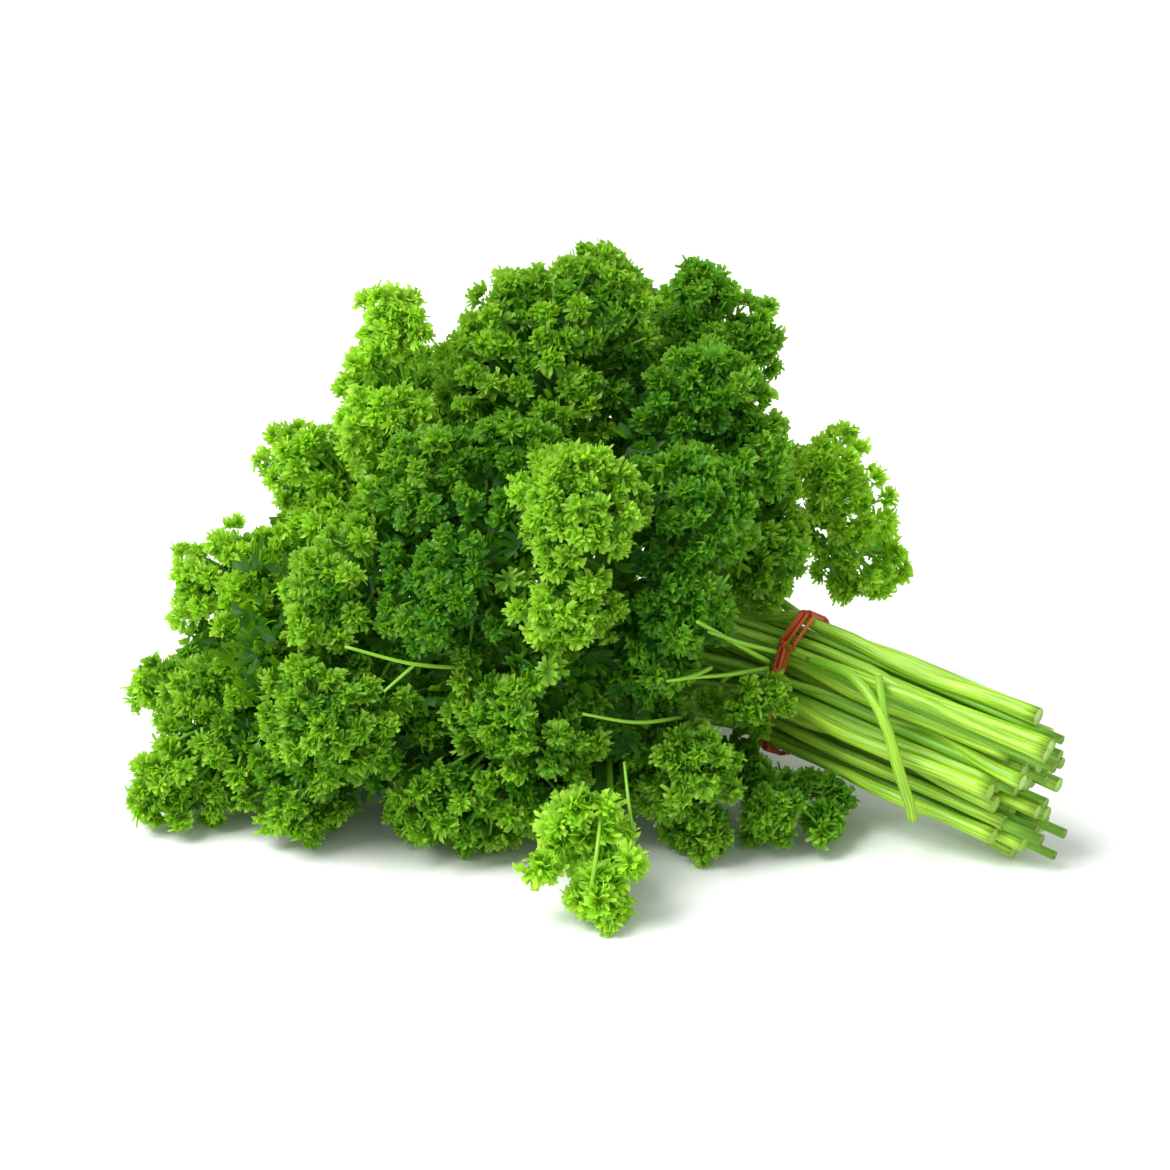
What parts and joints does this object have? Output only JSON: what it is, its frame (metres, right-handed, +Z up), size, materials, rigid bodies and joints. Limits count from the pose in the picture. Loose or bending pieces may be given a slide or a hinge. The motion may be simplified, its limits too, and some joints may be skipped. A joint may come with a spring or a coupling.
{
  "type": "parsley bunch",
  "caption": "Bunch of curly parsley lying on its side: curly green leaves on pale green stems, the stems held together by a red-orange rubber band.",
  "frame": {"origin": "middle of the bounding box, on the surface that the bunch lies on", "axes": "+X along the length of the bunch, from the leaves towards the cut ends; +Z up"},
  "size_m": [0.2574, 0.1924, 0.1515],
  "materials": {
    "leaf": "soft, slightly waxy leaf",
    "stem": "moist, satin stem skin",
    "band": "dull stretched rubber"
  },
  "bodies": {
    "root": {"leaf_top": "leaf", "stem_top": "stem", "leaf_top_right": "leaf", "stem_top_right": "stem", "leaf_shoulder_right": "leaf", "stem_shoulder_right": "stem", "leaf_tall_left": "leaf", "stem_tall_left": "stem", "leaf_shoulder_left": "leaf", "stem_shoulder_left": "stem", "leaf_upper_middle": "leaf", "stem_upper_middle": "stem", "leaf_low_left": "leaf", "stem_low_left": "stem", "leaf_front_left": "leaf", "stem_front_left": "stem", "leaf_bright_middle": "leaf", "stem_bright_middle": "stem", "leaf_middle_left": "leaf", "stem_middle_left": "stem", "leaf_centre_left": "leaf", "stem_centre_left": "stem", "leaf_low_front_left": "leaf", "stem_low_front_left": "stem", "leaf_low_front": "leaf", "stem_low_front": "stem", "leaf_middle_right": "leaf", "stem_middle_right": "stem", "leaf_right": "leaf", "stem_right": "stem", "leaf_back_right": "leaf", "stem_back_right": "stem", "leaf_front": "leaf", "stem_front": "stem", "leaf_low_front_right": "leaf", "stem_low_front_right": "stem", "leaf_under_stems": "leaf", "stem_under_stems": "stem", "leaf_neck": "leaf", "stem_neck": "stem", "leaf_under_left": "leaf", "stem_under_left": "stem", "leaf_under_middle": "leaf", "stem_under_middle": "stem", "leaf_back_top": "leaf", "stem_back_top": "stem", "leaf_back_top_left": "leaf", "stem_back_top_left": "stem", "leaf_back_low_left": "leaf", "stem_back_low_left": "stem", "leaf_back_middle": "leaf", "stem_back_middle": "stem", "leaf_back_floor_left": "leaf", "stem_back_floor_left": "stem", "leaf_back_middle_right": "leaf", "stem_back_middle_right": "stem", "leaf_back_floor_right": "leaf", "stem_back_floor_right": "stem", "rubber_band": "band", "loose_stalk": "stem"}
  },
  "joints": []
}
